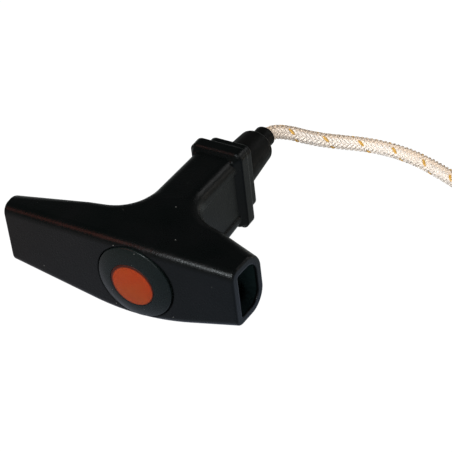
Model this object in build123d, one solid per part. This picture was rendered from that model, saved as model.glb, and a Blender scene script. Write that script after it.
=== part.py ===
"""Recoil starter handle: a hollow T grip with a front cap, a damped rope anchor and a braided rope.

Millimetres. The model is built about the pull axis: X runs along the crossbar, +Y runs from the
front face back along the stem to the rope, and +Z is up as the handle lies on its side. At the end
every piece moves by one step, so that the origin is the bottom centre of the handle's own box.
"""
from build123d import *
from math import atan2, degrees, pi, radians, tan
import os

# Crossbar: reach of each arm from the pull axis, and its outline at the arm's end
left_reach = 57.6
right_reach = 39.6
end_flare = 0.9            # how much further the arm reaches at its back than at its front
face_bow = 3.3             # setback of the front face at the arm's end
face_apex = -1.0           # where the two front planes would meet, ahead of the cap seat
left_end_back = 15.8
right_end_back = 21.2
left_root_back = 20.6      # back of the arm carried on to the stem's side
right_root_back = 25.8
apex_top = 18.4            # where the planes of the two arms would meet, above the pull axis
apex_bottom = 18.8
left_end_top = 14.2
right_end_top = 13.7
left_end_bottom = 12.1
right_end_bottom = 11.2
blend_run = 20.0           # length of arm on each side taken up by the middle's round
front_round = 3.7          # round along the upper and lower front edges
back_round = 4.5           # round along the back edges and the stem
left_end_round = 8.0       # back corners of the D section at the open ends
right_end_round = 9.0
arm_wall = 3.0
rim_round = 0.8            # edge of the open ends

# Stem and stepped collar
stem_width = 18.6
stem_flare = 13.0          # concave round from the arms into the stem
stem_taper_from = 24.0
stem_taper_height = 35.4
stem_end_height = 31.4
collar_front = 58.0
collar_width = 22.0
collar_height = 34.6
collar_depth = 4.0
collar_corner = 3.0
ramp_length = 3.5          # sloped front of the collar
ramp_rise = 2.1
plate_width = 17.4
plate_height = 28.0
plate_depth = 6.0
plate_corner = 3.0
step_round = 0.8

# Front cap and its seat
cap_diameter = 30.4
cap_seat_gap = 0.45
cap_thickness = 2.0
cap_edge_drop = 0.15
cap_crown = 1.9
cap_edge_round = 0.6
skirt_diameter = 22.0
skirt_wall = 1.5
skirt_length = 6.5
skirt_gap = 0.3
snap_rise = 0.2
snap_width = 1.0
disc_diameter = 17.9
disc_gap = 0.1
disc_depth = 1.1
disc_crown = 0.6
disc_edge_round = 0.3

# Rope, its guide and the damped anchor in the stem
rope_diameter = 6.0
rope_gap = 0.2
chamber_diameter = 13.6
chamber_gap = 0.3
guide_root_radius = 8.5
guide_shoulder_radius = 7.0
guide_shoulder_round = 2.0
guide_taper_length = 18.0
guide_tip_radius = 4.3
guide_tip_length = 6.0
guide_tip_round = 0.3
guide_tail_radius = 4.9
guide_tail_length = 15.0
guide_tail_gap = 0.1
guide_head_rise = 0.7
guide_head_length = 2.5
washer_thickness = 1.3
damper_length = 30.0
damper_bore = 7.2
damper_ribs = 6
damper_waist = 0.9
cup_rim = 1.0
cup_floor = 1.6
knot_ring = 3.2            # ring radius of the stopper knot's two wraps
knot_pitch = 5.0
knot_tail = 4.5
knot_gap = 0.5
mouth_run = 4.3            # how far inside the guide's mouth the free rope starts
panel_from = 30.0          # shallow flat panel on each side of the stem
panel_height = 20.0
panel_depth = 0.5
panel_corner = 3.0

# Free rope: points of its route in the finished frame, from the guide's mouth to the coil
route_points = [
    (8.99, 51.75, 17.37),
    (13.9, 58.15, 14.2),
    (19.0, 62.05, 10.8),
    (24.8, 66.55, 7.6),
    (31.7, 71.65, 5.0),
    (40.5, 75.85, 3.3),
    (51.1, 76.55, 3.0),
    (62.3, 74.75, 3.0),
    (73.5, 70.95, 3.0),
    (84.1, 66.25, 3.4),
    (91.9, 58.95, 4.05),
]
coil_turn_diameter = 62.0
coil_centre = (124.6, 76.65)
coil_width = 3 * rope_diameter
coil_height = 1.87 * rope_diameter
coil_round = 2.8
tie_width = 7.0
tie_thickness = 0.6
tie_gap = 0.45
tie_turn = 80.0           # place of the tie round the coil, from +X



def along_arm(x, apex, left_end, right_end):
    """Value at x of a straight outline that leaves an apex over the pull axis."""
    if x < 0:
        return apex + (left_end - apex) * -x / left_reach
    return apex + (right_end - apex) * x / right_reach


def front_y(x):
    return along_arm(x, face_apex, face_bow, face_bow)


def top_z(x):
    return along_arm(x, apex_top, left_end_top, right_end_top)


def bottom_z(x):
    return -along_arm(x, apex_bottom, left_end_bottom, right_end_bottom)


def back_y(x):
    """Back of an arm, on the line from its root at the stem's side to its end."""
    half = stem_width / 2
    if x < 0:
        return left_root_back + (left_end_back - left_root_back) * (-x - half) / (left_reach - half)
    return right_root_back + (right_end_back - right_root_back) * (x - half) / (right_reach - half)


def blend_radius(left_rise, right_rise):
    """Round that takes up blend_run of each arm where two slopes meet."""
    turn = abs(left_rise) / left_reach + abs(right_rise) / right_reach
    return blend_run / tan(turn / 2)


collar_block = collar_front + ramp_length
collar_back = collar_block + collar_depth
plate_back = collar_back + plate_depth
stem_end = collar_front + 1.0
beyond = 2.0               # how far the crossed outlines run past the arm's ends


def t_outline():
    """Plan of the grip: bowed front, flared ends, rounded roots and the stem."""
    half = stem_width / 2
    bow_rise = face_bow - face_apex
    with BuildSketch(Plane.XY) as plan:
        with BuildLine():
            front = FilletPolyline(
                (-left_reach, face_bow), (0, face_apex), (right_reach, face_bow),
                radius=blend_radius(bow_rise, bow_rise))
            right_end = Line(front @ 1, (right_reach + end_flare, back_y(right_reach + end_flare)))
            right_root = FilletPolyline(
                right_end @ 1, (half, right_root_back), (half, stem_end), radius=stem_flare)
            rear = Line(right_root @ 1, (-half, stem_end))
            left_root = FilletPolyline(
                rear @ 1, (-half, left_root_back), (-left_reach - end_flare, back_y(-left_reach - end_flare)),
                radius=stem_flare)
            Line(left_root @ 1, front @ 0)
        make_face()
    return plan.sketch


def face_outline():
    """Front view of the grip: upper and lower outlines that swell towards the middle."""
    left = -left_reach - beyond
    right = right_reach + beyond
    with BuildSketch(Plane.XZ) as view:
        with BuildLine():
            upper = FilletPolyline(
                (left, top_z(left)), (0, apex_top), (right, top_z(right)),
                radius=blend_radius(apex_top - left_end_top, apex_top - right_end_top))
            right_end = Line(upper @ 1, (right, bottom_z(right)))
            lower = FilletPolyline(
                right_end @ 1, (0, -apex_bottom), (left, bottom_z(left)),
                radius=blend_radius(apex_bottom - left_end_bottom, apex_bottom - right_end_bottom))
            Line(lower @ 1, upper @ 0)
        make_face()
    return view.sketch


def side_outline():
    """Side view: the stem grows thinner from the crossbar to the collar."""
    ahead = -3 * beyond
    rise = (stem_taper_height - stem_end_height) / 2 / (stem_end - stem_taper_from)
    start = stem_taper_height / 2 + rise * (stem_taper_from - ahead)
    with BuildSketch(Plane.YZ) as view:
        with BuildLine():
            Polyline(
                (ahead, start), (stem_end, stem_end_height / 2),
                (stem_end, -stem_end_height / 2), (ahead, -start), close=True)
        make_face()
    return view.sketch


def all_along(edge, test):
    """Whether a test holds at the ends and the middle of an edge."""
    return all(test(edge @ part) for part in (0.05, 0.5, 0.95))


def d_section(x, clear, corner, shrink=0.0):
    """D section of an arm at x, grown by clear or shrunk to leave a wall, rounded at the back."""
    upper = top_z(x) + clear - shrink
    lower = bottom_z(x) - clear + shrink
    back = back_y(x) + clear - shrink
    ahead = front_y(x) + shrink if shrink else front_y(x) - 6 * beyond
    with BuildSketch(Plane.YZ.offset(x)) as section:
        with Locations(((ahead + back) / 2, (upper + lower) / 2)):
            Rectangle(back - ahead, upper - lower)
        fillet(section.vertices().group_by(Axis.X)[-1], radius=corner)
        if shrink:
            fillet(section.vertices().group_by(Axis.X)[0], radius=arm_wall / 3)
    return section.sketch


def end_trim(side, reach, end_round):
    """What lies outside the D section of one arm, from its root to past its open end."""
    root = side * (stem_width / 2 + stem_flare)
    tip = side * (reach + beyond)
    skin = 0.04
    tube = loft([d_section(root, skin, back_round - 0.5), d_section(tip, skin, end_round)], ruled=True)
    depth = max(left_end_back, right_end_back, left_root_back, right_root_back) + 4 * beyond
    height = 2 * (max(apex_top, apex_bottom) + beyond)
    block = Box(
        abs(tip - root), depth, height,
        align=(Align.MIN if side > 0 else Align.MAX, Align.MIN, Align.CENTER))
    return Pos(root, 2 * front_round, 0) * block - tube


def arm_hollow(side, reach, end_round):
    """D-shaped hollow of one arm, open at its end and closed before the cap's seat."""
    inner = side * (skirt_diameter / 2 + skirt_gap + snap_rise + arm_wall)
    tip = side * (reach + beyond)
    inner_round = back_round - arm_wall / 2
    return loft(
        [d_section(inner, 0, inner_round, arm_wall), d_section(tip, 0, end_round - arm_wall, arm_wall)],
        ruled=True)


def grip_block():
    """The crossbar and stem before hollowing, with their long edges rounded."""
    block = extrude(t_outline(), amount=2 * apex_bottom, both=True)
    block &= extrude(face_outline(), amount=2 * stem_end, both=True)
    block &= extrude(side_outline(), amount=2 * left_reach, both=True)
    front_edges = [
        edge for edge in block.edges()
        if all_along(edge, lambda p: p.Y < face_bow + 0.3 and abs(p.Z) > left_end_bottom / 2)
        and abs((edge % 0.5).X) > 0.8 and edge.length > front_round]
    block = fillet(front_edges, front_round)
    low_back = min(left_end_back, right_end_back)
    back_edges = [
        edge for edge in block.edges()
        if all_along(edge, lambda p: low_back - 2 < p.Y < stem_end - 0.01 and abs(p.Z) > right_end_bottom / 2)
        and abs((edge % 0.5).Z) < 0.5
        and abs((edge @ 0.5).X) > stem_width / 2 - 0.5
        and -left_reach < (edge @ 0.5).X < right_reach]
    return fillet(back_edges, back_round)


def step_block(width, height, corner, start, depth):
    """A rounded rectangular step of the collar, its rear edge softened."""
    with BuildSketch(Plane.XZ.offset(-start)) as outline:
        RectangleRounded(width, height, corner)
    block = extrude(outline.sketch, amount=-depth)
    return fillet(block.edges().group_by(Axis.Y)[-1], step_round)


def collar_ramp():
    """Sloped front of the collar, from the stem's surface up to its full size."""
    with BuildSketch(Plane.XZ.offset(-collar_block)) as outline:
        RectangleRounded(collar_width, collar_height, collar_corner)
    slope = degrees(atan2(ramp_rise, ramp_length))
    return extrude(outline.sketch, amount=ramp_length, taper=slope)


def bore(radius, start, end):
    """A round bore along the pull axis."""
    return Pos(0, start, 0) * Rot(-90, 0, 0) * Cylinder(radius, end - start, align=(Align.CENTER, Align.CENTER, Align.MIN))


def turned(points):
    """A solid turned about the pull axis from (radius, place along the axis) corners."""
    with BuildSketch(Plane.XY) as profile:
        with BuildLine():
            Polyline(*points, close=True)
        make_face()
    return profile.sketch


cap_seat = cap_thickness
chamber_back = plate_back - guide_tail_length
guide_root = plate_back
guide_shoulder = guide_root + guide_taper_length
guide_mouth = guide_shoulder + guide_tip_length
washer_back = chamber_back - guide_head_length
damper_back = washer_back - washer_thickness
cup_back = damper_back - damper_length
knot_place = cup_back - cup_floor - rope_diameter / 2 - knot_gap
free_start = guide_mouth - mouth_run


def make_grip_body():
    """The T grip: hollow arms, stem with its chamber, and the stepped collar, as one moulding."""
    body = grip_block()
    body -= end_trim(-1, left_reach, left_end_round)
    body -= end_trim(1, right_reach, right_end_round)
    ends = [
        face for face in body.faces()
        if abs(face.normal_at().X) > 0.9 and abs(face.center().X) > right_reach - beyond]
    body = fillet([edge for face in ends for edge in face.edges()], rim_round)
    for side in (-1, 1):
        panel = Box(2 * panel_depth, 2 * (collar_front - panel_from), panel_height)
        panel = fillet(panel.edges().filter_by(Axis.X), panel_corner)
        body -= Pos(side * stem_width / 2, collar_front, 0) * panel
    body += collar_ramp()
    body += step_block(collar_width, collar_height, collar_corner, collar_block - step_round, collar_depth + step_round)
    body += step_block(plate_width, plate_height, plate_corner, collar_back - step_round, plate_depth + step_round)
    body -= arm_hollow(-1, left_reach, left_end_round)
    body -= arm_hollow(1, right_reach, right_end_round)
    ahead = front_y(0) - beyond
    body -= bore(cap_diameter / 2 + cap_seat_gap, ahead, cap_seat)
    body -= bore(skirt_diameter / 2 + skirt_gap + snap_rise, 0, cap_seat + skirt_length + skirt_gap)
    body -= bore(chamber_diameter / 2, 0, chamber_back)
    body -= bore(guide_tail_radius + guide_tail_gap, 0, plate_back + beyond)
    return body


def make_front_cap():
    """Domed ring cap with a recess for the disc and a skirt that snaps into the crossbar."""
    rim = cap_diameter / 2
    recess = disc_diameter / 2 + disc_gap
    skirt = skirt_diameter / 2
    back = cap_seat + skirt_length
    snap = back - 2 * snap_width
    edge = -cap_edge_drop
    crown = -cap_crown
    with BuildSketch(Plane.XY) as profile:
        with BuildLine():
            face = ThreePointArc((rim, edge), ((rim + recess) / 2, (edge + crown) / 2 - 0.3), (recess, crown))
            Polyline(
                face @ 1, (recess, crown + disc_depth), (0, crown + disc_depth), (0, cap_seat),
                (skirt - skirt_wall, cap_seat), (skirt - skirt_wall, back), (skirt - 0.4, back),
                (skirt, back - 0.4), (skirt, snap + snap_width), (skirt + snap_rise, snap + snap_width / 2),
                (skirt, snap), (skirt, cap_seat), (rim, cap_seat), face @ 0)
        make_face()
    cap = revolve(profile.sketch, axis=Axis.Y)
    outer_rim = [
        edge for edge in cap.edges()
        if edge.geom_type == GeomType.CIRCLE and edge.radius > rim - 0.01 and edge.arc_center.Y < cap_seat / 2]
    return fillet(outer_rim, cap_edge_round)


def make_cap_disc():
    """Coloured disc pressed into the cap, with a slightly crowned face."""
    radius = disc_diameter / 2
    seat = disc_depth - cap_crown
    edge = -cap_crown
    with BuildSketch(Plane.XY) as profile:
        with BuildLine():
            crown = ThreePointArc((0, edge - disc_crown), (radius / 2, edge - 0.75 * disc_crown), (radius, edge))
            Polyline(crown @ 1, (radius, seat), (0, seat), crown @ 0)
        make_face()
    disc = revolve(profile.sketch, axis=Axis.Y)
    front_edge = [item for item in disc.edges() if item.geom_type == GeomType.CIRCLE and item.arc_center.Y < edge + 0.01]
    return fillet(front_edge, disc_edge_round)


def make_rope_guide():
    """Tapered guide snapped into the collar, with a rounded shoulder and a narrower mouth."""
    hole = rope_diameter / 2 + rope_gap
    tail = guide_tail_radius
    head = tail + guide_head_rise
    with BuildSketch(Plane.XY) as profile:
        with BuildLine():
            Polyline(
                (hole, washer_back), (head - 0.5, washer_back), (head, chamber_back - 0.6), (head, chamber_back),
                (tail, chamber_back), (tail, guide_root), (guide_root_radius, guide_root),
                (guide_shoulder_radius, guide_shoulder), (guide_tip_radius, guide_shoulder),
                (guide_tip_radius, guide_mouth), (hole, guide_mouth), close=True)
        make_face()
        corners = profile.vertices()
        fillet([v for v in corners if abs(v.Y - guide_shoulder) < 0.01 and v.X > guide_tip_radius + 0.1], guide_shoulder_round)
        fillet([v for v in profile.vertices() if abs(v.Y - guide_mouth) < 0.01], guide_tip_round)
    return revolve(profile.sketch, axis=Axis.Y)


def make_rear_washer():
    """Plain washer between the guide's head and the damper."""
    ring = bore(chamber_diameter / 2 - chamber_gap, damper_back, washer_back)
    return ring - bore(rope_diameter / 2 + rope_gap, damper_back - 1, washer_back + 1)


def make_damper():
    """Elastomer sleeve that softens the pull, waisted between its ribs."""
    outer = chamber_diameter / 2 - chamber_gap
    pitch = damper_length / damper_ribs
    with BuildSketch(Plane.XY) as profile:
        with BuildLine():
            start = Line((damper_bore / 2, cup_back), (outer - damper_waist, cup_back))
            last = start
            for rib in range(damper_ribs):
                middle = cup_back + pitch * (rib + 0.5)
                last = ThreePointArc(last @ 1, (outer, middle), (outer - damper_waist, middle + pitch / 2))
            Polyline(last @ 1, (damper_bore / 2, damper_back), start @ 0)
        make_face()
    return revolve(profile.sketch, axis=Axis.Y)


def make_knot_cup():
    """Cup washer that takes the knot's pull into the damper."""
    outer = chamber_diameter / 2 - chamber_gap
    hole = rope_diameter / 2 + rope_gap
    lip = cup_back - cup_floor - cup_rim
    profile = turned([
        (hole, cup_back), (outer, cup_back), (outer, lip), (outer - cup_rim / 2, lip), (hole, cup_back - cup_floor)])
    return revolve(profile, axis=Axis.Y)


def make_anchor_rope():
    """Rope inside the handle: a stopper knot of two wraps, and the run to the mouth."""
    radius = rope_diameter / 2
    rope = bore(radius, knot_place - knot_pitch - knot_tail, free_start)
    for place in (knot_place - knot_pitch, knot_place):
        rope += Pos(0, place, 0) * Rot(90, 0, 0) * Torus(knot_ring, radius)
    return rope


def rope_radii(points):
    """As large a bend at each corner as its two runs allow."""
    radii = []
    for before, here, after in zip(points, points[1:], points[2:]):
        first = Vector(*here) - Vector(*before)
        second = Vector(*after) - Vector(*here)
        turn = radians(first.get_angle(second))
        radii.append(0.45 * min(first.length, second.length) / tan(turn / 2))
    return radii


def make_free_rope(start):
    """Plain tube along the stretch of rope between the mouth and the coil."""
    centre = Vector(coil_centre[0], coil_centre[1], 0)
    last = Vector(*route_points[-1])
    toward = centre - Vector(last.X, last.Y, 0)
    points = [start] + route_points
    radii = rope_radii(points)
    path = FilletPolyline(*points, radius=radii)
    section = Plane(origin=path @ 0, z_dir=path % 0) * Circle(rope_diameter / 2)
    tube = sweep(section, path=path)
    print("free rope: length", round(path.length, 1), "radii", [round(r, 1) for r in radii])
    print("  volume over section times length", round(tube.volume / (pi * rope_diameter ** 2 / 4 * path.length), 4))
    print("  distance from its end to the coil's centre", round(toward.length, 2))
    return tube


def coil_section(grow):
    """Section across the wound rope, grown on every side, at the coil's own centre line."""
    with BuildSketch(Plane.XZ) as section:
        with Locations((coil_turn_diameter / 2, tie_thickness + tie_gap + coil_height / 2)):
            RectangleRounded(coil_width + 2 * grow, coil_height + 2 * grow, coil_round + grow)
    return section.sketch


def make_coil():
    """Closed ring of the outer shape of the wound rope."""
    ring = revolve(coil_section(0.0), axis=Axis.Z)
    return Pos(coil_centre[0], coil_centre[1], 0) * ring


def make_tie():
    """Soft strap that holds the coil's turns together."""
    outer = extrude(coil_section(tie_gap + tie_thickness), amount=tie_width / 2, both=True)
    inner = extrude(coil_section(tie_gap), amount=tie_width, both=True)
    return Pos(coil_centre[0], coil_centre[1], 0) * Rot(0, 0, tie_turn) * (outer - inner)


os.makedirs("parts", exist_ok=True)
pieces = {
    "grip_body": make_grip_body(),
    "front_cap": make_front_cap(),
    "cap_disc": make_cap_disc(),
    "rope_guide": make_rope_guide(),
    "rear_washer": make_rear_washer(),
    "damper_sleeve": make_damper(),
    "knot_cup": make_knot_cup(),
    "anchor_rope": make_anchor_rope(),
}
boxes = [piece.bounding_box() for piece in pieces.values()]
middle_x = (min(box.min.X for box in boxes) + max(box.max.X for box in boxes)) / 2
middle_y = (min(box.min.Y for box in boxes) + max(box.max.Y for box in boxes)) / 2
step = Vector(-middle_x, -middle_y, -min(box.min.Z for box in boxes))
print("step to the finished frame", step)
pieces = {name: Pos(step.X, step.Y, step.Z) * piece for name, piece in pieces.items()}
start = Vector(0, free_start, 0) + step
pieces["starter_rope"] = make_free_rope((start.X, start.Y, start.Z))
pieces["rope_coil"] = make_coil()
pieces["coil_tie"] = make_tie()
for name, piece in pieces.items():
    print(name, type(piece).__name__, piece.is_valid, round(piece.volume, 1), len(piece.faces()), len(piece.solids()))
for name, piece in pieces.items():
    export_step(piece, f"parts/{name}.step")
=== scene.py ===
"""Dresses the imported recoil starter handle: plastics, cap, rope guide, braided rope, light and camera."""

import logging
import math
from dataclasses import dataclass
from enum import Enum
from typing import Optional

import bpy
from mathutils import Matrix, Vector


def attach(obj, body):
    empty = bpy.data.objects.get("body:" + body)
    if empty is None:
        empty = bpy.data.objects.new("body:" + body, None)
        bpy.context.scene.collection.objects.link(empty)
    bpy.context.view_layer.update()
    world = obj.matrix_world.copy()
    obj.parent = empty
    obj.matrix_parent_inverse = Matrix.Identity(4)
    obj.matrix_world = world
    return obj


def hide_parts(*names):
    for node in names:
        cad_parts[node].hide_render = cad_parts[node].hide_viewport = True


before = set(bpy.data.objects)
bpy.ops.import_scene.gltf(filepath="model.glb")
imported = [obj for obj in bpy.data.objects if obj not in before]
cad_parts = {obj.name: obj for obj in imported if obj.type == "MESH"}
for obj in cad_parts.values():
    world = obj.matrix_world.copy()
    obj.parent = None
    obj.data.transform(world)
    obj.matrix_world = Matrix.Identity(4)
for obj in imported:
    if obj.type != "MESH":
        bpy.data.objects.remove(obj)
log = logging.getLogger("starter_handle")

Span = tuple[float, float]
Triple = tuple[float, float, float]
Socket = bpy.types.NodeSocket
Colour = Triple | Socket
Amount = float | Socket
Range = tuple[Amount, Amount]

MM = 0.001
BODY = "root"
ROPE_DIAMETER = 6.0 * MM
WHITE: Triple = (1.0, 1.0, 1.0)
RISING: Span = (0.0, 1.0)
FALLING: Span = (1.0, 0.0)
ACROSS_X: Triple = (0.0, 1.0, 1.0)
ACROSS_Y: Triple = (1.0, 0.0, 1.0)


class Service(Enum):
    """Which light a lamp gives."""

    ALL = "all"
    SOFT = "soft"
    MIRRORED = "mirrored"


class Sketch:
    """A node tree, with short calls for the nodes that materials and geometry share."""

    def __init__(self, tree: bpy.types.NodeTree) -> None:
        """Takes the tree that the nodes go into."""
        self.tree = tree

    def node(self, kind: str, *wires: object, **settings: object) -> bpy.types.Node:
        """Adds a node and fills its inputs in order.

        Args:
            kind: Name of the node's class.
            *wires: A socket or a constant for each enabled input; None leaves one as it is.
            **settings: Values for its own properties.

        Returns:
            The new node.
        """
        made = self.tree.nodes.new(kind)
        for key, value in settings.items():
            setattr(made, key, value)
        for socket, wire in zip([one for one in made.inputs if one.enabled], wires):
            self.feed(socket, wire)
        return made

    def wired(self, kind: str, wires: dict[str, object], **settings: object) -> bpy.types.Node:
        """Adds a node and fills its inputs by name.

        Args:
            kind: Name of the node's class.
            wires: A socket or a constant for each named input; None leaves one as it is.
            **settings: Values for its own properties.

        Returns:
            The new node.
        """
        made = self.node(kind, **settings)
        for name, wire in wires.items():
            self.feed(self.enabled(made.inputs, name), wire)
        return made

    @staticmethod
    def enabled(sockets: bpy.types.bpy_prop_collection, name: str) -> Socket:
        """The first socket of a name that the node's settings leave enabled."""
        return [one for one in sockets if one.name == name and one.enabled][0]

    def feed(self, socket: Socket, wire: object) -> None:
        """Links a socket to an input, or writes a constant there.

        Args:
            socket: The input.
            wire: A socket or a constant; None leaves the input as it is.
        """
        if isinstance(wire, Socket):
            self.tree.links.new(wire, socket)
        elif wire is not None:
            socket.default_value = (*wire, 1.0) if socket.type == "RGBA" else wire

    def number(self, kind: str, *wires: Amount, **settings: object) -> Socket:
        """One step of arithmetic on numbers."""
        return self.node("ShaderNodeMath", *wires, operation=kind, **settings).outputs[0]

    def plus(self, first: Amount, second: Amount) -> Socket:
        """The sum of two numbers."""
        return self.number("ADD", first, second)

    def minus(self, first: Amount, second: Amount) -> Socket:
        """The first number less the second."""
        return self.number("SUBTRACT", first, second)

    def times(self, first: Amount, second: Amount) -> Socket:
        """The product of two numbers."""
        return self.number("MULTIPLY", first, second)

    def vector(self, kind: str, *wires: object) -> Socket:
        """One step of arithmetic on vectors."""
        return self.node("ShaderNodeVectorMath", *wires, operation=kind).outputs["Vector"]

    def length(self, vector: Socket) -> Socket:
        """A vector's length."""
        return self.node("ShaderNodeVectorMath", vector, operation="LENGTH").outputs["Value"]

    def parts(self, vector: Socket) -> list[Socket]:
        """A vector's three parts."""
        return list(self.node("ShaderNodeSeparateXYZ", vector).outputs)

    def spread(self, value: Socket, given: Range, wanted: Range = RISING) -> Socket:
        """Maps one range onto another, clamped.

        Args:
            value: Socket to map.
            given: The range it has.
            wanted: The range it gets.

        Returns:
            The mapped socket.
        """
        return self.node("ShaderNodeMapRange", value, *given, *wanted).outputs[0]


class Shading(Sketch):
    """A material's tree round one Principled shader."""

    def __init__(self, name: str) -> None:
        """Starts a clean tree with the shader.

        Args:
            name: Name of the material.
        """
        self.material = bpy.data.materials.new(name)
        self.material.use_nodes = True
        super().__init__(self.material.node_tree)
        self.tree.nodes.clear()
        self.surface = self.node("ShaderNodeBsdfPrincipled")
        self.output = self.node("ShaderNodeOutputMaterial", self.surface.outputs["BSDF"])

    def dress(self, slot: str, value: Colour | float) -> None:
        """Links a socket to one of the shader's inputs, or writes a constant there."""
        self.feed(self.surface.inputs[slot], value)

    def coordinates(self) -> Socket:
        """Object coordinates, in metres."""
        return self.node("ShaderNodeTexCoord").outputs["Object"]

    def attribute(self, name: str, part: str) -> Socket:
        """Reads one of the mesh's attributes."""
        return self.node("ShaderNodeAttribute", attribute_name=name).outputs[part]

    def noise(self, where: Socket, cells: float, octaves: float) -> Socket:
        """Noise between 0 and 1, with cells per unit of its coordinates."""
        return self.node("ShaderNodeTexNoise", where, cells, octaves).outputs["Fac"]

    def mix(self, factor: Socket, first: Colour, second: Colour) -> Socket:
        """Mixes two colours, from the first at a factor of 0 to the second at 1."""
        return self.node("ShaderNodeMix", factor, first, second, data_type="RGBA").outputs[2]

    def relief(self, height: Socket, depth: float, share: float, under: Optional[Socket] = None) -> Socket:
        """A bump from a height.

        Args:
            height: Height between 0 and 1.
            depth: Depth in metres at a height of 1.
            share: Share of the effect.
            under: Normal that it lies on.

        Returns:
            The normal's socket.
        """
        wires = {"Distance": depth, "Strength": share, "Height": height, "Normal": under}
        return self.wired("ShaderNodeBump", wires).outputs[0]


@dataclass(frozen=True)
class OpenArm:
    """The hollow of one arm of the crossbar, whose inside is painted a little paler: painted light, for the
    light that reaches in through the open end.

    Attributes:
        root: Where the hollow starts, along X.
        rim: Where the arm ends, along X.
        middle: The hollow's middle, in Y and Z.
        half_section: Half of its straight sides, in Y and Z.
        corner: Radius round them.
        fade: Stretch in which the paler tone comes in at the root.
        blur: Stretch in which it ends at the walls and at the rim.
    """

    root: float
    rim: float
    middle: Span
    half_section: Span
    corner: float
    fade: float = 0.008
    blur: float = 0.0004

    def inside(self, sheet: Shading, where: Socket) -> Socket:
        """Marks the surfaces inside the arm.

        Args:
            sheet: The finish that asks.
            where: Object coordinates.

        Returns:
            A factor of 1 inside and 0 elsewhere.
        """
        away = sheet.vector("ABSOLUTE", sheet.vector("SUBTRACT", where, (0.0, *self.middle)))
        over = sheet.vector("SUBTRACT", sheet.vector("MULTIPLY", away, ACROSS_X), (0.0, *self.half_section))
        size = sheet.length(sheet.vector("MAXIMUM", over, (0.0, 0.0, 0.0)))
        along = sheet.parts(where)[0]
        outward = math.copysign(1.0, self.rim)
        within = sheet.spread(size, (self.corner - self.blur, self.corner + self.blur), FALLING)
        beyond = sheet.spread(along, (self.root, self.root + outward * self.fade))
        before = sheet.spread(along, (self.rim - outward * self.blur, self.rim), FALLING)
        return sheet.times(sheet.times(within, beyond), before)


@dataclass(frozen=True)
class RecessShadow:
    """Painted shadow at the edge of a round face, as cast by a recess round it, thicker along its upper
    left.

    Attributes:
        middle: Middle of the unshaded patch, a little to the lower right of the face's own.
        lit_to: Radius where the painted shadow starts.
        dark_from: Radius where it is thickest.
        strength: How much it covers there.
        colour: Its colour.
    """

    middle: Triple = (0.00919, 0.0, 0.01707)
    lit_to: float = 0.0079
    dark_from: float = 0.0085
    strength: float = 0.92
    colour: Triple = (0.014, 0.004, 0.003)

    def painted_shadow(self, sheet: Shading, where: Socket) -> Socket:
        """Marks the painted shadow.

        Args:
            sheet: The finish that asks.
            where: Object coordinates.

        Returns:
            A factor of 0 on the unshaded face.
        """
        flat = sheet.vector("MULTIPLY", sheet.vector("SUBTRACT", where, self.middle), ACROSS_Y)
        return sheet.spread(sheet.length(flat), (self.lit_to, self.dark_from), (0.0, self.strength))


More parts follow.
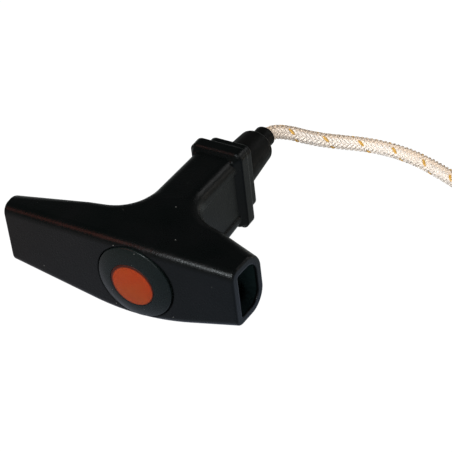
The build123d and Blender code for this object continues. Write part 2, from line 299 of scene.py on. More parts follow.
@dataclass(frozen=True)
class MouldedPlastic:
    """Injection moulded plastic: fine eroded grain, faint flow mottling and a few specks of dust.

    Attributes:
        name: Name of the material.
        colour: Main colour.
        worn: Colour of the mottling's other patches.
        gloss: Range of the roughness.
        grain: Cells of the fine grain in a metre.
        grain_depth: Depth of the fine grain.
        specular: Level of the plain reflection.
        soft_edge: Radius by which edges are rounded in shading.
        edge: Painted shadow at a round face's edge, if it has any.
        arms: Hollows whose inside gets painted light.
        hollow_light: Paler colour painted inside those hollows, as painted light.
        grain_share: How strongly the fine grain tilts the surface.
        flow_cells: Cells of the mottling in a metre.
        flow_range: Part of its noise that passes from one colour to the other.
        flow_depth: Depth of the mottling.
        flow_share: How strongly it tilts the surface.
        gloss_patch: Size of a glossier patch, in cells of grain.
        gloss_range: Part of its noise that passes from low to high roughness.
        dust: Colour of the dust.
        dust_cells: Cells in a metre that have a speck each.
        dust_size: Radius of a speck, in cells.
        edge_samples: Samples for the rounded edges.
    """

    name: str
    colour: Triple
    worn: Triple
    gloss: Span
    grain: float = 2600.0
    grain_depth: float = 0.00003
    specular: float = 0.13
    soft_edge: float = 0.0
    edge: Optional[RecessShadow] = None
    arms: tuple[OpenArm, ...] = ()
    hollow_light: Triple = (0.011, 0.020, 0.021)
    grain_share: float = 0.5
    flow_cells: float = 60.0
    flow_range: Span = (0.35, 0.7)
    flow_depth: float = 0.0001
    flow_share: float = 0.25
    gloss_patch: float = 9.0
    gloss_range: Span = (0.3, 0.7)
    dust: Triple = (0.13, 0.13, 0.12)
    dust_cells: float = 170.0
    dust_size: float = 0.045
    edge_samples: int = 6

    def made(self) -> bpy.types.Material:
        """Builds the material.

        Returns:
            The material.
        """
        sheet = Shading(self.name)
        where = sheet.coordinates()
        flow = sheet.noise(where, self.flow_cells, octaves=4.0)
        fine = sheet.noise(where, self.grain, octaves=2.0)
        coarse = sheet.noise(where, self.grain / self.gloss_patch, octaves=3.0)
        tone = sheet.mix(sheet.spread(flow, self.flow_range), self.colour, self.worn)
        # Painted shadow: a dark crescent round the face's edge, thicker at its upper left.
        if self.edge is not None:
            tone = sheet.mix(self.edge.painted_shadow(sheet, where), tone, self.edge.colour)
        # Painted light: the inside of each open arm is painted paler.
        for arm in self.arms:
            tone = sheet.mix(arm.inside(sheet, where), tone, self.hollow_light)
        sheet.dress("Base Color", sheet.mix(self.specks(sheet, where), tone, self.dust))
        sheet.dress("Roughness", sheet.spread(coarse, self.gloss_range, self.gloss))
        sheet.dress("Specular IOR Level", self.specular)
        under = sheet.relief(flow, self.flow_depth, self.flow_share, self.rounded(sheet))
        sheet.dress("Normal", sheet.relief(fine, self.grain_depth, self.grain_share, under))
        return sheet.material

    def specks(self, sheet: Shading, where: Socket) -> Socket:
        """Marks the specks of dust.

        Args:
            sheet: The finish that asks.
            where: Object coordinates.

        Returns:
            A factor of 1 on a speck.
        """
        cells = sheet.wired("ShaderNodeTexVoronoi", {"Vector": where, "Scale": self.dust_cells})
        return sheet.spread(cells.outputs["Distance"], (0.5 * self.dust_size, self.dust_size), FALLING)

    def rounded(self, sheet: Shading) -> Optional[Socket]:
        """The normal of softened edges.

        Args:
            sheet: The finish that asks.

        Returns:
            The normal's socket, or None where edges stay as they are.
        """
        if not self.soft_edge:
            return None
        wires = {"Radius": self.soft_edge}
        return sheet.wired("ShaderNodeBevel", wires, samples=self.edge_samples).outputs[0]


@dataclass(frozen=True)
class PlatedSteel:
    """Bright plated washer steel."""

    name: str = "plated_steel"
    colour: Triple = (0.55, 0.55, 0.56)
    dull: Triple = (0.42, 0.42, 0.43)
    cells: float = 900.0
    gloss: Span = (0.22, 0.4)
    gloss_range: Span = (0.3, 0.7)

    def made(self) -> bpy.types.Material:
        """Builds the material.

        Returns:
            The material.
        """
        sheet = Shading(self.name)
        cloud = sheet.noise(sheet.coordinates(), self.cells, octaves=3.0)
        sheet.dress("Base Color", sheet.mix(cloud, self.colour, self.dull))
        sheet.dress("Roughness", sheet.spread(cloud, self.gloss_range, self.gloss))
        sheet.dress("Metallic", 1.0)
        return sheet.material


@dataclass(frozen=True)
class BraidFibre:
    """Polyester yarn: pale filaments along each strand, and gold ones on the tracer strand.

    Attributes:
        name: Name of the material.
        pale: Colour of the yarn.
        shade: Colour between its filaments.
        aged: Colour of its older patches.
        gold: Colour of the tracer.
        brown: Colour of the painted shade along one side of the rope, and of the stretch that rubs in the
            guide.
        core_shade: Colour of the core, darker than the yarn as painted shade where it shows between
            strands.
        shaded_column: Column of the braid that is painted browner, as painted shade along one side of the
            rope.
        shaded_reach: Columns to either side where that starts and ends.
        shaded_share: How brown it gets there.
        rubbed_at: Where the rope rubs in the guide.
        rubbed_range: How far from there the rubbing starts to fade and ends.
        rubbed_share: How brown it gets there.
    """

    name: str
    pale: Triple = (0.81, 0.76, 0.705)
    shade: Triple = (0.76, 0.67, 0.585)
    aged: Triple = (0.80, 0.68, 0.55)
    gold: Triple = (0.60, 0.33, 0.05)
    brown: Triple = (0.58, 0.40, 0.24)
    core_shade: Triple = (0.74, 0.62, 0.50)
    shaded_column: float = 4.0
    shaded_reach: Span = (0.5, 2.0)
    shaded_share: float = 0.75
    rubbed_at: Triple = (0.009, 0.0447, 0.0174)
    rubbed_range: Span = (0.003, 0.022)
    rubbed_share: float = 0.5
    yarn_scale: Triple = (9.0, 1.2, 1.0)
    yarn_range: Span = (0.35, 0.65)
    yarn_depth: float = 0.00012
    yarn_share: float = 0.8
    patch_cells: float = 90.0
    patch_range: Span = (0.4, 0.75)
    patch_share: float = 0.6
    roughness: float = 0.62
    sheen: float = 0.25

    def made(self) -> bpy.types.Material:
        """Builds the material.

        Returns:
            The material.
        """
        sheet = Shading(self.name)
        place = sheet.attribute("strand_place", "Vector")
        yarn = self.filaments(sheet, place)
        where = sheet.coordinates()
        cloud = sheet.noise(where, self.patch_cells, octaves=3.0)
        tone = sheet.mix(sheet.spread(yarn, self.yarn_range), self.shade, self.pale)
        tone = sheet.mix(sheet.spread(cloud, self.patch_range, (0.0, self.patch_share)), tone, self.aged)
        # Painted shade: one side of the rope is painted browner along its whole length.
        tone = sheet.mix(self.side_shade(sheet, place), tone, self.brown)
        tone = sheet.mix(self.rubbed(sheet, where), tone, self.brown)
        tone = sheet.mix(sheet.attribute("tracer", "Fac"), tone, self.gold)
        # Painted shade: the core that shows between the strands is darker.
        sheet.dress("Base Color", sheet.mix(sheet.attribute("heart", "Fac"), tone, self.core_shade))
        sheet.dress("Roughness", self.roughness)
        sheet.dress("Sheen Weight", self.sheen)
        sheet.dress("Normal", sheet.relief(yarn, self.yarn_depth, self.yarn_share))
        return sheet.material

    def filaments(self, sheet: Shading, place: Socket) -> Socket:
        """Noise drawn out along each strand.

        Args:
            sheet: The finish that asks.
            place: Place on the strand: across, along and column.

        Returns:
            The factor's socket.
        """
        across = sheet.wired("ShaderNodeMapping", {"Vector": place, "Scale": self.yarn_scale})
        return sheet.noise(across.outputs["Vector"], cells=1.0, octaves=2.0)

    def side_shade(self, sheet: Shading, place: Socket) -> Socket:
        """Marks the columns of the braid that get painted shade, along one side of the rope.

        Args:
            sheet: The finish that asks.
            place: Place on the strand: across, along and column.

        Returns:
            A factor of 0 on unshaded columns.
        """
        apart = sheet.minus(sheet.parts(place)[2], self.shaded_column)
        return sheet.spread(sheet.number("ABSOLUTE", apart), self.shaded_reach, (self.shaded_share, 0.0))

    def rubbed(self, sheet: Shading, where: Socket) -> Socket:
        """Marks the stretch that rubs in the guide's mouth.

        Args:
            sheet: The finish that asks.
            where: Object coordinates.

        Returns:
            A factor of 0 on the rest of the rope.
        """
        apart = sheet.length(sheet.vector("SUBTRACT", where, self.rubbed_at))
        return sheet.spread(apart, self.rubbed_range, (self.rubbed_share, 0.0))


@dataclass(frozen=True)
class WovenStrap:
    """Black woven strap."""

    name: str = "woven_strap"
    dark: Triple = (0.01, 0.01, 0.011)
    light: Triple = (0.035, 0.035, 0.038)
    threads: float = 900.0
    thread_depth: float = 0.0002
    thread_share: float = 0.6
    roughness: float = 0.8

    def made(self) -> bpy.types.Material:
        """Builds the material.

        Returns:
            The material.
        """
        sheet = Shading(self.name)
        wave = sheet.node("ShaderNodeTexWave", sheet.coordinates(), self.threads, bands_direction="Z")
        weave = wave.outputs["Fac"]
        sheet.dress("Base Color", sheet.mix(weave, self.dark, self.light))
        sheet.dress("Normal", sheet.relief(weave, self.thread_depth, self.thread_share))
        sheet.dress("Roughness", self.roughness)
        return sheet.material


@dataclass(frozen=True)
class PhotoCamera:
    """The photograph's viewpoint, from the lines fitted on the handle.

    Attributes:
        azimuth: Turn round the handle, in degrees.
        elevation: Height above the table, in degrees.
        roll: Lean of the camera, in degrees.
        distance_mm: Distance from the point below.
        from_mm: Point on the pull axis near the front face that the offsets are measured from.
        aside_mm: Offset to the picture's right.
        above_mm: Offset to the picture's top.
        pixels_per_mm: Scale at that distance.
        frame_pixels: Side of the photograph.
        sensor_mm: Side of the sensor.
        near_m: Nearest distance that is drawn, in metres.
    """

    azimuth: float = 34.49
    elevation: float = 38.18
    roll: float = 7.14
    distance_mm: float = 700.0
    from_mm: Triple = (8.99, -46.5, 17.37)
    aside_mm: float = 32.48
    above_mm: float = 19.99
    pixels_per_mm: float = 2.81
    frame_pixels: float = 452.0
    sensor_mm: float = 36.0
    near_m: float = 0.01

    def axes(self) -> tuple[Vector, Vector, Vector]:
        """The camera's own axes.

        Returns:
            Unit vectors to the picture's right, to its top and back to the camera.
        """
        turn = math.radians(self.azimuth)
        rise = math.radians(self.elevation)
        lean = math.radians(self.roll)
        right = Vector((math.cos(turn), math.sin(turn), 0.0))
        up = Vector((-math.sin(turn) * math.sin(rise), math.cos(turn) * math.sin(rise), math.cos(rise)))
        back = Vector((math.sin(turn) * math.cos(rise), -math.cos(turn) * math.cos(rise), math.sin(rise)))
        across = math.cos(lean) * right - math.sin(lean) * up
        upward = math.sin(lean) * right + math.cos(lean) * up
        return across, upward, back

    def place(self) -> bpy.types.Object:
        """Puts the camera in the scene.

        Returns:
            The camera's object.
        """
        across, upward, back = self.axes()
        offset = self.distance_mm * back + self.aside_mm * across + self.above_mm * upward
        eye = offset + Vector(self.from_mm)
        data = bpy.data.cameras.new("photo_camera")
        data.sensor_width = self.sensor_mm
        data.lens = self.pixels_per_mm * self.distance_mm / self.frame_pixels * self.sensor_mm
        data.clip_start = self.near_m
        camera = bpy.data.objects.new("photo_camera", data)
        bpy.context.scene.collection.objects.link(camera)
        turned = Matrix((across, upward, back)).transposed().to_4x4()
        camera.matrix_world = Matrix.Translation(eye * MM) @ turned
        bpy.context.scene.camera = camera
        return camera


@dataclass(frozen=True)
class SoftLamp:
    """A square soft light that faces the frame's origin.

    Attributes:
        name: Name of the lamp.
        toward: Direction in which it hangs.
        side: Its side.
        radiance: Its brightness.
        tint: Its colour.
        service: Which light it gives.
        away: How far off it hangs.
    """

    name: str
    toward: Triple
    side: float
    radiance: float
    tint: Triple = WHITE
    service: Service = Service.ALL
    away: float = 0.9

    def hang(self) -> bpy.types.Object:
        """Puts the lamp in the scene.

        Returns:
            The lamp's object.
        """
        data = bpy.data.lights.new(self.name, "AREA")
        data.shape = "SQUARE"
        data.size = self.side
        data.energy = self.radiance * math.pi * self.side ** 2
        data.color = self.tint
        lamp = bpy.data.objects.new(self.name, data)
        lamp.location = Vector(self.toward).normalized() * self.away
        lamp.rotation_euler = (-lamp.location).to_track_quat("-Z", "Y").to_euler()
        lamp.visible_glossy = self.service is not Service.SOFT
        lamp.visible_diffuse = self.service is not Service.MIRRORED
        bpy.context.scene.collection.objects.link(lamp)
        return lamp


@dataclass(frozen=True)
class Studio:
    """White table, a pale band at the horizon under a dim ceiling, and soft lamps.

    Attributes:
        table_half: Half of the table's side.
        table_gap: How far the table lies below the part, so that the two don't flicker.
        table_bounce: Colour that lights the object from below.
        table_rough: Its roughness.
        table_shown: Brightness of the table to the camera and in reflections.
        shadow_share: Share of the plain shaded table in what is seen.
        near_left: What the handle mirrors of the table at its front left.
        near_right: What it mirrors at its front right.
        behind: What it mirrors behind.
        left_to_right: Where along X the first passes into the second.
        front_to_back: Where along Y those pass into the third.
        band: Brightness at the horizon.
        band_top: Height where it starts to fall off.
        ceiling: Brightness overhead.
        ceiling_from: Height where that is reached.
        lamps: The lamps.
    """

    table_half: float = 1.5
    table_gap: float = 0.0001
    table_bounce: float = 0.40
    table_rough: float = 0.9
    table_shown: float = 1.15
    shadow_share: float = 0.13
    near_left: Triple = (0.46, 0.41, 0.42)
    near_right: Triple = (0.42, 0.50, 0.64)
    behind: Triple = (0.36, 0.39, 0.38)
    left_to_right: Span = (-0.07, 0.05)
    front_to_back: Span = (-0.02, 0.02)
    band: float = 0.16
    band_top: float = 0.28
    ceiling: float = 0.045
    ceiling_from: float = 0.5
    lamps: tuple[SoftLamp, ...] = (
        SoftLamp("key", (-0.3, -0.62, 0.78), 0.55, 10.5, service=Service.SOFT),
        SoftLamp("fill", (0.85, 0.15, 0.5), 0.5, 2.6, service=Service.SOFT),
        SoftLamp("rope_low", (0.84, -0.54, 0.14), 0.45, 4.6, service=Service.SOFT),
        SoftLamp("front_soft", (0.35, -0.85, 0.4), 0.4, 2.5),
        SoftLamp("ridge_warm", (-0.54, -0.60, 0.59), 0.36, 3.4, (1.0, 0.26, 0.18), Service.MIRRORED),
        SoftLamp("ridge_cool", (0.03, -0.78, 0.62), 0.24, 38.0, (0.90, 0.97, 1.0), Service.MIRRORED),
        SoftLamp("rope_side", (0.75, 0.65, 0.12), 0.3, 1.8, (1.0, 0.95, 0.88), Service.MIRRORED),
        SoftLamp("stem_light", (0.45, 0.65, 0.58), 0.3, 3.5, service=Service.MIRRORED),
    )

    def table_finish(self) -> bpy.types.Material:
        """White to the camera, toned in reflections, with a faint shadow; plain pale to other light.

        Returns:
            The material.
        """
        sheet = Shading("table_white")
        sheet.dress("Base Color", (self.table_bounce,) * 3)
        sheet.dress("Roughness", self.table_rough)
        sheet.dress("Specular IOR Level", 0.0)
        along, deep, _ = sheet.parts(sheet.coordinates())
        front = sheet.mix(sheet.spread(along, self.left_to_right), self.near_left, self.near_right)
        mirrored = sheet.mix(sheet.spread(deep, self.front_to_back), front, self.behind)
        rays = sheet.node("ShaderNodeLightPath")
        seen = rays.outputs["Is Camera Ray"]
        glow = sheet.node("ShaderNodeEmission", sheet.mix(seen, mirrored, WHITE), self.table_shown)
        for kind in ("Is Glossy Ray", "Is Transmission Ray"):
            seen = sheet.number("ADD", seen, rays.outputs[kind], use_clamp=True)
        share = sheet.times(seen, 1.0 - self.shadow_share)
        choose = sheet.node("ShaderNodeMixShader", share, sheet.surface.outputs["BSDF"], glow.outputs[0])
        sheet.feed(sheet.output.inputs["Surface"], choose.outputs[0])
        return sheet.material

    def lay_table(self) -> bpy.types.Object:
        """Makes the table top.

        Returns:
            The table's object.
        """
        reach = self.table_half
        sides = ((-reach, -reach), (reach, -reach), (reach, reach), (-reach, reach))
        corners = [(x, y, -self.table_gap) for x, y in sides]
        mesh = bpy.data.meshes.new("table")
        mesh.from_pydata(corners, [], [(0, 1, 2, 3)])
        mesh.materials.append(self.table_finish())
        table = bpy.data.objects.new("table", mesh)
        bpy.context.scene.collection.objects.link(table)
        return table

    def surround(self) -> None:
        """Sets the world: a pale band at the horizon that falls off to a dim ceiling."""
        world = bpy.data.worlds.new("surround")
        bpy.context.scene.world = world
        world.use_nodes = True
        world.node_tree.nodes.clear()
        sketch = Sketch(world.node_tree)
        height = sketch.parts(sketch.node("ShaderNodeTexCoord").outputs["Generated"])[2]
        levels = (self.band_top, self.ceiling_from, self.band, self.ceiling)
        fall = sketch.node("ShaderNodeMapRange", height, *levels, interpolation_type="SMOOTHSTEP")
        lit = sketch.node("ShaderNodeBackground", None, fall.outputs[0])
        sketch.node("ShaderNodeOutputWorld", lit.outputs[0])

    def set_up(self) -> None:
        """Lays the table, sets the surround and hangs the lamps."""
        self.lay_table()
        self.surround()
        for lamp in self.lamps:
            lamp.hang()
        bpy.context.scene.view_settings.view_transform = "Standard"


class GeometrySketch(Sketch):
    """A Geometry Nodes group with named inputs."""

    def __init__(self, name: str) -> None:
        """Starts a group that takes and gives geometry.

        Args:
            name: Name of the group.
        """
        super().__init__(bpy.data.node_groups.new(name, "GeometryNodeTree"))
        for way in ("INPUT", "OUTPUT"):
            self.tree.interface.new_socket("Geometry", in_out=way, socket_type="NodeSocketGeometry")
        self.given: dict[str, object] = {}
        self.entry = self.node("NodeGroupInput")
        self.exit = self.node("NodeGroupOutput")

    def size(self, name: str, kind: str, value: object) -> Socket:
        """Adds a named input.

        Args:
            name: Its name in the modifier.
            kind: Its socket type, without the prefix.
            value: What this build sets it to.

        Returns:
            The socket inside the group.
        """
        added = self.tree.interface.new_socket(name, in_out="INPUT", socket_type="NodeSocket" + kind)
        self.given[added.identifier] = value
        return self.entry.outputs[name]

    def stretched(self, vector: Socket, scale: Socket) -> Socket:
        """A vector times a number."""
        wires = {"Vector": vector, "Scale": scale}
        return self.wired("ShaderNodeVectorMath", wires, operation="SCALE").outputs[0]

    def packed(self, first: Amount, second: Amount, third: Amount) -> Socket:
        """A vector from three numbers."""
        return self.node("ShaderNodeCombineXYZ", first, second, third).outputs[0]

    def kept(self, geometry: Socket, name: str, kind: str, value: object) -> Socket:
        """Stores a named attribute on points.

        Args:
            geometry: Geometry to store it on.
            name: Name of the attribute.
            kind: FLOAT or FLOAT_VECTOR.
            value: Its field.

        Returns:
            The geometry's socket.
        """
        wires = {"Geometry": geometry, "Name": name, "Value": value}
        store = self.wired("GeometryNodeStoreNamedAttribute", wires, data_type=kind, domain="POINT")
        return store.outputs[0]

    def recall(self, name: str, kind: str) -> Socket:
        """Reads a named attribute.

        Args:
            name: Name of the attribute.
            kind: FLOAT or FLOAT_VECTOR.

        Returns:
            Its socket.
        """
        reader = self.node("GeometryNodeInputNamedAttribute", name, data_type=kind)
        return self.enabled(reader.outputs, "Attribute")

    def baked(self, name: str, material: bpy.types.Material) -> bpy.types.Object:
        """Runs the group on an empty mesh and keeps the result as a plain piece.

        Args:
            name: Name of the piece.
            material: The material that the tree sets, kept in its one slot.

        Returns:
            The piece, in the scene, with no modifier.
        """
        carrier = bpy.data.objects.new(name + "_carrier", bpy.data.meshes.new(name + "_carrier"))
        bpy.context.scene.collection.objects.link(carrier)
        modifier = carrier.modifiers.new("tree", "NODES")
        modifier.node_group = self.tree
        for identifier, value in self.given.items():
            modifier[identifier] = value
        ready = carrier.evaluated_get(bpy.context.evaluated_depsgraph_get())
        mesh = bpy.data.meshes.new_from_object(ready)
        mesh.name = name
        mesh.materials.clear()
        mesh.materials.append(material)
        carrier.modifiers.remove(modifier)
        bpy.data.objects.remove(carrier)
        piece = bpy.data.objects.new(name, mesh)
        bpy.context.scene.collection.objects.link(piece)
        return piece


@dataclass(frozen=True)
class BraidInputs:
    """The braid's sizes as sockets of its tree, where the pitch is the distance between rows."""

    curve: Socket
    radius: Socket
    pitch: Socket
    core: Socket
    pillow: Socket
    tip: Socket
    count: Socket
    seed: Socket


@dataclass(frozen=True)
class Braid:
    """A sixteen strand braid: eight strands each way, each over two and under two.

    Attributes:
        columns: Columns of pillows round the rope.
        lay_mm: Length in which a strand goes once round.
        core_share: Share of the radius that the core has.
        pillow_mm: How far a pillow is crowned.
        overlap: Length of a pillow, in columns.
        fill: Half width of a pillow, in rows.
        end_taper: Share of that width that its ends lose.
        end_drop: Share of its height that its ends lose.
        crown: Least height of a pillow and how much chance adds, as shares.
        pillow_grid: Points along and across a pillow.
        yarn_shift: How far the yarn's pattern may shift from one pillow to the next.
        first_column: Turn of the whole braid round the rope, in columns.
        tracer_strand: The strand that is gold.
        slack: Slack in comparing whole numbers.
        tip_mm: Length of the melted tip.
        tip_round: Where on its dome the tip starts and ends.
        tip_share: Its radius, as a share of the rope's.
        tip_neck: Where it has narrowed to the core, in tips from the end.
        core_sides: Sides of the core.
        seed: Seed for the small differences.
    """

    columns: int = 8
    lay_mm: float = 14.8
    core_share: float = 0.8
    pillow_mm: float = 0.62
    overlap: float = 1.16
    fill: float = 0.44
    end_taper: float = 0.5
    end_drop: float = 0.9
    crown: Span = (0.9, 0.12)
    pillow_grid: tuple[int, int] = (5, 4)
    yarn_shift: float = 40.0
    first_column: float = 1.0
    tracer_strand: int = 6
    slack: float = 0.1
    tip_mm: float = 2.6
    tip_round: Span = (0.05, 1.0)
    tip_share: float = 0.97
    tip_neck: float = 1.6
    core_sides: int = 12
    seed: int = 5

    def tree(self, line: bpy.types.Object, long_mm: float, fibre: bpy.types.Material) -> GeometrySketch:
        """Builds the braid's tree: pillows in rows, wrapped round the line over a core.

        Args:
            line: The rope's centre line.
            long_mm: Its length.
            fibre: The yarn's material.

        Returns:
            The tree, ready to run.
        """
        sketch = GeometrySketch("rope_braid")
        pitch_mm = self.lay_mm / self.columns
        rows = int((long_mm - self.tip_mm) / pitch_mm) - 1
        route = sketch.size("route", "Object", line)
        curve = sketch.node("GeometryNodeObjectInfo", route, transform_space="ORIGINAL").outputs["Geometry"]
        sizes = BraidInputs(
            curve=sketch.node("GeometryNodeSetCurveNormal", curve, mode="Z_UP").outputs[0],
            radius=sketch.size("rope radius", "Float", ROPE_DIAMETER / 2),
            pitch=sketch.size("row pitch", "Float", pitch_mm * MM),
            core=sketch.size("core share", "Float", self.core_share),
            pillow=sketch.size("pillow height", "Float", self.pillow_mm * MM),
            tip=sketch.size("melted tip", "Float", self.tip_mm * MM),
            count=sketch.size("pillow count", "Int", rows * self.columns),
            seed=sketch.size("seed", "Int", self.seed))
        finish = sketch.size("finish", "Material", fibre)
        both = sketch.node("GeometryNodeJoinGeometry")
        sketch.feed(both.inputs[0], self.pillows(sketch, sizes))
        sketch.feed(both.inputs[0], self.heart(sketch, sizes))
        real = sketch.node("GeometryNodeRealizeInstances", both.outputs[0]).outputs[0]
        smooth = sketch.node("GeometryNodeSetShadeSmooth", real).outputs[0]
        clad = sketch.wired("GeometryNodeSetMaterial", {"Geometry": smooth, "Material": finish})
        sketch.feed(sketch.exit.inputs[0], clad.outputs[0])
        return sketch

    def seats(self, sketch: GeometrySketch, sizes: BraidInputs) -> Socket:
        """Points for the pillows, each with its seat on the rope, its tracer mark and its shade.

        Args:
            sketch: The tree.
            sizes: The tree's inputs.

        Returns:
            The points' geometry.
        """
        columns = float(self.columns)
        index = sketch.node("GeometryNodeInputIndex").outputs[0]
        row = sketch.number("FLOOR", sketch.number("DIVIDE", index, columns))
        column = sketch.minus(index, sketch.times(row, columns))
        odd = sketch.number("MODULO", column, 2.0)
        along = sketch.times(sketch.plus(sketch.plus(row, 0.5), sketch.times(odd, 0.5)), sizes.pitch)
        strand = sketch.number("FLOORED_MODULO", sketch.minus(column, row), columns)
        traced = sketch.number("COMPARE", strand, float(self.tracer_strand), self.slack)
        gold = sketch.times(traced, sketch.minus(1.0, odd))
        chance = sketch.node("FunctionNodeRandomValue", 0.0, 1.0, index, sizes.seed, data_type="FLOAT")
        points = sketch.node("GeometryNodePoints", sizes.count).outputs[0]
        points = sketch.kept(points, "seat", "FLOAT_VECTOR", sketch.packed(along, column, odd))
        points = sketch.kept(points, "tracer", "FLOAT", gold)
        return sketch.kept(points, "shade", "FLOAT", chance.outputs[1])

    def pillows(self, sketch: GeometrySketch, sizes: BraidInputs) -> Socket:
        """The visible floats of the strands.

        Args:
            sketch: The tree.
            sizes: The tree's inputs.

        Returns:
            The pillows' geometry.
        """
        sheet = sketch.node("GeometryNodeMeshGrid", 2.0, 2.0, *self.pillow_grid).outputs[0]
        seats = self.seats(sketch, sizes)
        placed = sketch.wired("GeometryNodeInstanceOnPoints", {"Points": seats, "Instance": sheet})
        flat = sketch.node("GeometryNodeRealizeInstances", placed.outputs[0]).outputs[0]
        lengthwise, across, _ = sketch.parts(sketch.node("GeometryNodeInputPosition").outputs[0])
        along, column, odd = sketch.parts(sketch.recall("seat", "FLOAT_VECTOR"))
        shade = sketch.recall("shade", "FLOAT")
        shifted = sketch.plus(lengthwise, sketch.times(shade, self.yarn_shift))
        flat = sketch.kept(flat, "strand_place", "FLOAT_VECTOR", sketch.packed(across, shifted, column))
        hand = sketch.minus(1.0, sketch.times(odd, 2.0))
        end = sketch.times(lengthwise, lengthwise)
        lost = sketch.times(sketch.times(end, end), self.end_taper * self.fill)
        wide = sketch.times(sizes.pitch, sketch.minus(self.fill, lost))
        reach = 0.5 * self.overlap
        slant = sketch.times(sketch.times(lengthwise, hand), sketch.times(sizes.pitch, reach))
        length = sketch.plus(sketch.plus(along, slant), sketch.times(across, wide))
        aside = sketch.plus(sketch.plus(column, self.first_column), sketch.times(lengthwise, reach))
        turn = sketch.times(aside, 2 * math.pi / self.columns)
        side = sketch.times(across, across)
        crown = sketch.times(sketch.minus(1.0, side), sketch.minus(1.0, sketch.times(end, self.end_drop)))
        least, chance = self.crown
        crown = sketch.times(crown, sketch.plus(least, sketch.times(shade, chance)))
        out = sketch.plus(sketch.times(sizes.radius, sizes.core), sketch.times(crown, sizes.pillow))
        return self.wrapped(sketch, sizes.curve, flat, length, turn, out)

    def wrapped(self, sketch: GeometrySketch, curve: Socket, flat: Socket,
                length: Socket, turn: Socket, out: Socket) -> Socket:
        """Moves flat points onto the rope.

        Args:
            sketch: The tree.
            curve: The rope's centre line.
            flat: Geometry to move.
            length: How far along the rope each point lies.
            turn: Its angle round the rope.
            out: Its distance from the centre line.

        Returns:
            The moved geometry.
        """
        reader = sketch.wired("GeometryNodeSampleCurve", {"Curves": curve, "Length": length}, mode="LENGTH")
        heading, upward = reader.outputs["Tangent"], reader.outputs["Normal"]
        sideways = sketch.vector("CROSS_PRODUCT", heading, upward)
        rising = sketch.stretched(upward, sketch.number("COSINE", turn))
        ring = sketch.vector("ADD", rising, sketch.stretched(sideways, sketch.number("SINE", turn)))
        where = sketch.vector("ADD", reader.outputs["Position"], sketch.stretched(ring, out))
        return sketch.wired("GeometryNodeSetPosition", {"Geometry": flat, "Position": where}).outputs[0]

    def heart(self, sketch: GeometrySketch, sizes: BraidInputs) -> Socket:
        """The core under the pillows, which swells into the melted tip.

        Args:
            sketch: The tree.
            sizes: The tree's inputs.

        Returns:
            The core's geometry.
        """
        done = sketch.node("GeometryNodeSplineParameter").outputs["Length"]
        left = sketch.minus(sketch.node("GeometryNodeSplineLength").outputs["Length"], done)
        dome = sketch.spread(left, (0.0, sizes.tip), self.tip_round)
        dome = sketch.number("SQRT", sketch.times(dome, sketch.minus(2.0, dome)))
        neck = sketch.times(sizes.tip, self.tip_neck)
        swell = sketch.spread(left, (sizes.tip, neck), (self.tip_share, sizes.core))
        thick = sketch.times(sizes.radius, sketch.times(dome, swell))
        sized = sketch.wired("GeometryNodeSetCurveRadius", {"Curve": sizes.curve, "Radius": thick})
        ring = sketch.node("GeometryNodeCurvePrimitiveCircle", self.core_sides).outputs[0]
        wires = {"Curve": sized.outputs[0], "Profile Curve": ring, "Fill Caps": True}
        tube = sketch.wired("GeometryNodeCurveToMesh", wires)
        if "Scale" in tube.inputs:
            sketch.feed(tube.inputs["Scale"], thick)
        return sketch.kept(tube.outputs[0], "heart", "FLOAT", 1.0)


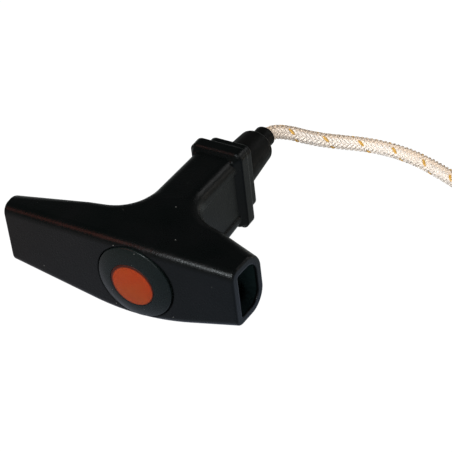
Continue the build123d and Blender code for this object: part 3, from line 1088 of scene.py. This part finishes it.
@dataclass(frozen=True)
class StarterRope:
    """The braided rope: its route from the guide's mouth, the stored coil, and its braid.

    Attributes:
        exit_mm: Where it leaves the guide.
        route_mm: Its free stretch, point by point.
        coil_centre_mm: Middle of the coil on the table.
        coil_radius_mm: Radius of the coil's middle track.
        coil_level_mm: Height of the lowest turns' centre line.
        coil_start_deg: Where the free stretch joins it.
        turns: Number of turns.
        tracks: Each turn's track, out and up in rope widths.
        shift_from: Part of a turn after which it passes to the next track.
        points_a_turn: Control points in a turn.
        real_length: Length outside the guide, in metres.
        braid: The braid.
    """

    exit_mm: Triple = (8.99, 44.7, 17.37)
    route_mm: tuple[Triple, ...] = (
        (8.99, 44.70, 17.37),
        (8.99, 51.75, 17.37),
        (13.9, 58.15, 14.2),
        (19.0, 62.05, 10.8),
        (24.8, 66.55, 7.6),
        (31.7, 71.65, 5.0),
        (40.5, 75.85, 3.3),
        (51.1, 76.55, 3.0),
        (62.3, 74.75, 3.0),
        (73.5, 70.95, 3.0),
        (84.1, 66.25, 3.4),
        (91.0, 60.05, 3.9),
    )
    coil_centre_mm: Span = (124.6, 76.65)
    coil_radius_mm: float = 31.0
    coil_level_mm: float = 4.05
    coil_start_deg: float = -145.0
    turns: float = 4.15
    tracks: tuple[Span, ...] = ((1.0, 0.0), (0.0, 0.0), (-1.0, 0.0), (-0.5, 0.87), (0.5, 0.87))
    shift_from: float = 0.75
    points_a_turn: int = 20
    real_length: float = 0.90
    braid: Braid = Braid()

    def track_at(self, turn: float) -> Span:
        """Where the coil's cross-section has the rope, with an easy passage between tracks.

        Args:
            turn: Turns from the coil's start.

        Returns:
            Distance out and up from the middle track, in rope widths.
        """
        track = min(int(turn), len(self.tracks) - 1)
        ahead = min(track + 1, len(self.tracks) - 1)
        shift = 0.0
        if ahead != track:
            shift = max(0.0, (turn - track - self.shift_from) / (1.0 - self.shift_from))
        shift = shift * shift * (3 - 2 * shift)
        (out, lift), (next_out, next_lift) = self.tracks[track], self.tracks[ahead]
        return out + (next_out - out) * shift, lift + (next_lift - lift) * shift

    def coil_points(self) -> list[Triple]:
        """Control points of the turns, laid side by side and then on top.

        Returns:
            Points in millimetres, from the free stretch to the rope's end.
        """
        wide = ROPE_DIAMETER / MM
        points = []
        for place in range(round(self.turns * self.points_a_turn) + 1):
            turn = place / self.points_a_turn
            out, lift = self.track_at(turn)
            radius = self.coil_radius_mm + out * wide
            angle = math.radians(self.coil_start_deg) + turn * 2 * math.pi
            points.append((
                self.coil_centre_mm[0] + radius * math.cos(angle),
                self.coil_centre_mm[1] + radius * math.sin(angle),
                self.coil_level_mm + lift * wide))
        return points

    def line(self) -> bpy.types.Object:
        """The rope's centre line as one smooth spline.

        Returns:
            A curve object with no bevel.
        """
        data = bpy.data.curves.new("rope_line", "CURVE")
        data.dimensions = "3D"
        points = list(self.route_mm) + self.coil_points()
        spline = data.splines.new("NURBS")
        spline.points.add(len(points) - 1)
        for slot, point in zip(spline.points, points):
            slot.co = (*(Vector(point) * MM), 1.0)
        spline.order_u = 3
        spline.use_endpoint_u = True
        spline.resolution_u = 10
        line = bpy.data.objects.new("rope_line", data)
        bpy.context.scene.collection.objects.link(line)
        return line

    def make(self, fibre: bpy.types.Material) -> None:
        """Args:
            fibre: The yarn's material.
        """
        line = self.line()
        ready = line.evaluated_get(bpy.context.evaluated_depsgraph_get())
        shown = bpy.data.meshes.new_from_object(ready)
        path = [vertex.co.copy() for vertex in shown.vertices]
        long = sum((b - a).length for a, b in zip(path, path[1:]))
        log.info("rope line: %d points, %.4f m", len(path), long)
        rope = self.braid.tree(line, long / MM, fibre).baked("starter_rope_braid", fibre)
        log.info("braid: %d faces", len(rope.data.polygons))
        bpy.data.objects.remove(line)
        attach(rope, BODY)
        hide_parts("starter_rope", "rope_coil")


@dataclass(frozen=True)
class Dress:
    """Which finish each carried-over piece wears."""

    # The grip's open arms are painted paler inside, as painted light.
    grip: MouldedPlastic = MouldedPlastic(
        "grip_plastic", colour=(0.0014, 0.0021, 0.0020), worn=(0.0025, 0.0029, 0.0030), gloss=(0.25, 0.33),
        grain=1500.0, grain_depth=0.00015, soft_edge=0.0009, arms=(
            OpenArm(
                root=0.022, rim=0.0484, middle=(-0.03425, 0.01862),
                half_section=(0.00005, 0.00355), corner=0.0074),
            OpenArm(
                root=-0.030, rim=-0.0482, middle=(-0.03695, 0.01842),
                half_section=(0.00005, 0.00695), corner=0.0047)))
    cap: MouldedPlastic = MouldedPlastic(
        "cap_plastic", colour=(0.0040, 0.0065, 0.0062), worn=(0.0055, 0.0080, 0.0078), gloss=(0.22, 0.3),
        grain=5000.0, grain_depth=0.00001)
    # The disc's edge carries a painted shadow, as of the recess round it.
    disc: MouldedPlastic = MouldedPlastic(
        "disc_plastic", colour=(0.262, 0.0205, 0.0027), worn=(0.243, 0.037, 0.0055), gloss=(0.32, 0.45),
        grain=4000.0, grain_depth=0.00002, edge=RecessShadow())
    guide: MouldedPlastic = MouldedPlastic(
        "guide_plastic", colour=(0.0022, 0.0024, 0.0022), worn=(0.0036, 0.0038, 0.0036), gloss=(0.42, 0.52),
        specular=0.09)
    rubber: MouldedPlastic = MouldedPlastic(
        "damper_rubber", colour=(0.03, 0.03, 0.03), worn=(0.05, 0.05, 0.05), gloss=(0.6, 0.75))

    def wear(self, fibre: bpy.types.Material) -> None:
        """Gives each CAD node its finish.

        Args:
            fibre: The yarn's material, for the rope inside the handle.
        """
        steel = PlatedSteel().made()
        finishes = {
            "grip_body": self.grip.made(),
            "front_cap": self.cap.made(),
            "cap_disc": self.disc.made(),
            "rope_guide": self.guide.made(),
            "damper_sleeve": self.rubber.made(),
            "rear_washer": steel,
            "knot_cup": steel,
            "anchor_rope": fibre,
            "coil_tie": WovenStrap().made(),
        }
        for node, finish in finishes.items():
            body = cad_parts[node]
            body.data.materials.clear()
            body.data.materials.append(finish)
            log.info("%s wears %s", node, finish.name)


def main() -> None:
    """Builds the picture in order: camera, rope, finishes and light."""
    logging.basicConfig(level=logging.INFO, format="%(name)s: %(message)s")
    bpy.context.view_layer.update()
    PhotoCamera().place()
    fibre = BraidFibre("rope_fibre").made()
    StarterRope().make(fibre)
    Dress().wear(fibre)
    Studio().set_up()


if __name__ == "__main__":
    main()
